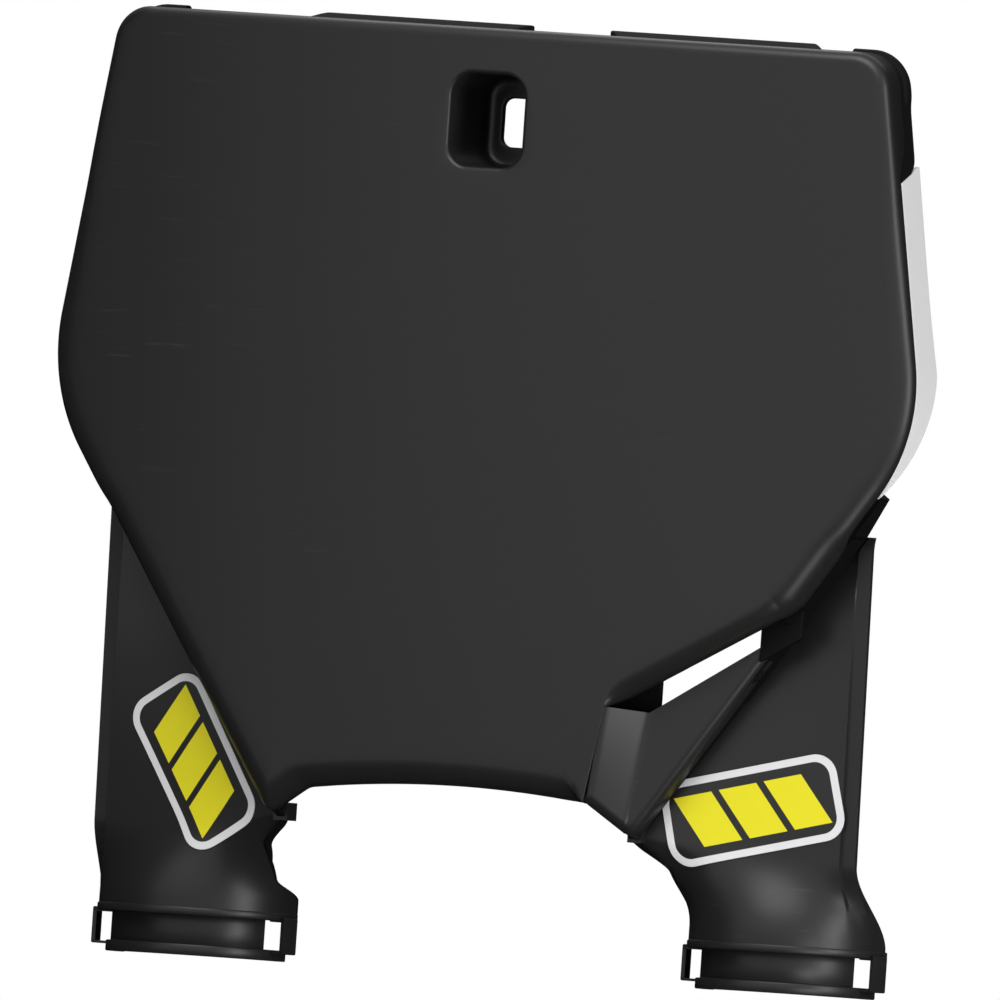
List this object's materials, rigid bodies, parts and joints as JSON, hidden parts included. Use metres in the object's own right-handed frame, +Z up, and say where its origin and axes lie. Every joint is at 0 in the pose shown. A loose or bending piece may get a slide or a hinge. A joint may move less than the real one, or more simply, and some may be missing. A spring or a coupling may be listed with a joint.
{
  "type": "racing number board",
  "caption": "Black moulded front number board for a motocross bike, with two half-round fork collars, an air duct, a strap recess, two stickers and pale side panels.",
  "frame": {"origin": "midway between the axes of the two fork tubes, level with the bottom lips of the fork collars", "axes": "+X to the viewer's right when facing the board, +Y back from the face, +Z up along the fork tubes"},
  "size_m": [0.2918, 0.058, 0.292],
  "materials": {
    "board_plastic": "moulded, satin",
    "panel_plastic": "satin",
    "sticker_film": "printed gloss film"
  },
  "bodies": {
    "root": {"plate": "board_plastic", "panel_left": "panel_plastic", "panel_right": "panel_plastic", "sticker_left": "sticker_film", "sticker_right": "sticker_film"}
  },
  "joints": []
}
